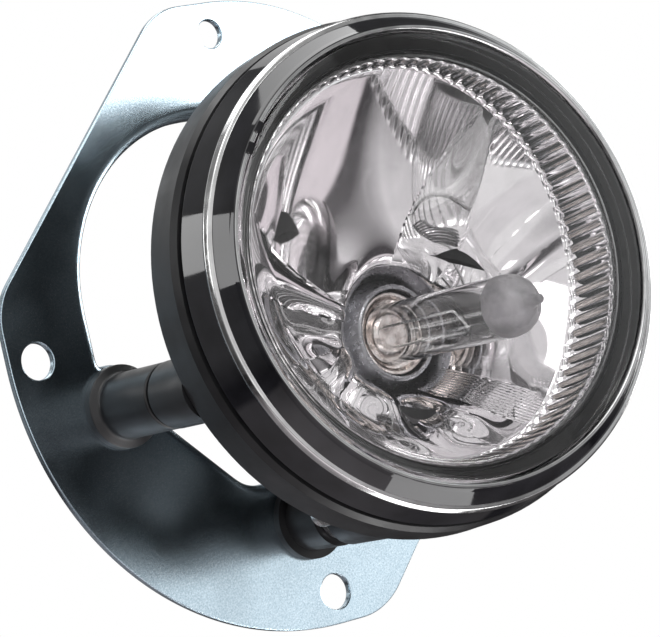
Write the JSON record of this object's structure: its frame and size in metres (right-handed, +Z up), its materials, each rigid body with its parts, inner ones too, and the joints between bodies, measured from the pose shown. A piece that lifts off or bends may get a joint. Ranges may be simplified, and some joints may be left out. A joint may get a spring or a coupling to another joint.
{
  "type": "fog light",
  "caption": "Round halogen fog lamp with a clear lens and bright reflector, held on posts in front of a stamped steel mounting plate and aimed by a screw.",
  "frame": {"origin": "on the rear face of the mounting plate, at the centre of the 120 mm circle that its three screw holes lie on", "axes": "+Z up; the beam leaves along -Y, square to the plate, so +Y points into the carrier; +X is to the right seen from in front"},
  "size_m": [0.1238, 0.0875, 0.1336],
  "materials": {
    "zinc_plate": "stamped steel sheet, zinc plated, cool grey with a fine mottled grain and bright cut edges",
    "matte_black": "moulded black plastic with a fine grain",
    "gloss_black": "polished black plastic",
    "clear_glass": "clear pressed glass",
    "black_rubber": "soft black rubber",
    "bright_reflector": "vacuum-metallised, mirror bright",
    "dark_metal": "dark satin metal",
    "plated_steel": "zinc-plated turned steel",
    "spring_steel": "bare spring steel",
    "nylon": "natural nylon",
    "bulb_glass": "clear hard glass",
    "tip_paint": "opaque grey heat-proof paint",
    "seal_rubber": "silicone rubber",
    "contact_brass": "plated brass"
  },
  "bodies": {
    "carrier": {"mounting_plate": "zinc_plate", "pivot_post_left": "matte_black", "pivot_post_right": "matte_black", "ball_stud_left": "plated_steel", "ball_stud_right": "plated_steel", "post_screws": "plated_steel", "adjuster_sleeve": "matte_black", "sleeve_clip": "spring_steel"},
    "adjuster": {"adjuster_screw": "plated_steel", "adjuster_knob": "matte_black", "screw_clip": "spring_steel"},
    "lamp": {"housing": "matte_black", "bezel": "gloss_black", "bezel_screws": "plated_steel", "bezel_tabs": "gloss_black", "lens": "clear_glass", "lens_seal": "black_rubber", "reflector": "bright_reflector", "flute_ring": "bright_reflector", "reflector_screws": "plated_steel", "bulb_shield": "dark_metal", "ball_socket_left": "nylon", "ball_socket_right": "nylon", "adjuster_nut": "nylon", "vent_cap": "black_rubber"},
    "bulb": {"bulb_glass": "bulb_glass", "bulb_tip_coat": "tip_paint", "bulb_filament": "dark_metal", "bulb_leads": "spring_steel", "bulb_collar": "plated_steel", "bulb_base": "matte_black", "bulb_seal_ring": "seal_rubber", "bulb_contacts": "contact_brass"}
  },
  "joints": [
    {"name": "lamp_aim", "type": "hinge", "parent": "carrier", "child": "lamp", "pos_m": [0, -0.0268, -0.0125], "axis": [1, 0, 0], "range_deg": [-3, 3]},
    {"name": "adjuster_turn", "type": "hinge", "parent": "carrier", "child": "adjuster", "pos_m": [-0.0032, -0.0268, -0.0437], "axis": [0, 1, 0], "range_deg": [-396, 396]},
    {"name": "bulb_twist", "type": "hinge", "parent": "lamp", "child": "bulb", "pos_m": [0.0188, -0.0268, -0.01], "axis": [0, 1, 0], "range_deg": [0, 45]}
  ],
  "couplings": [
    {"joint": "adjuster_turn", "follows": "lamp_aim", "ratio": -130.69}
  ]
}
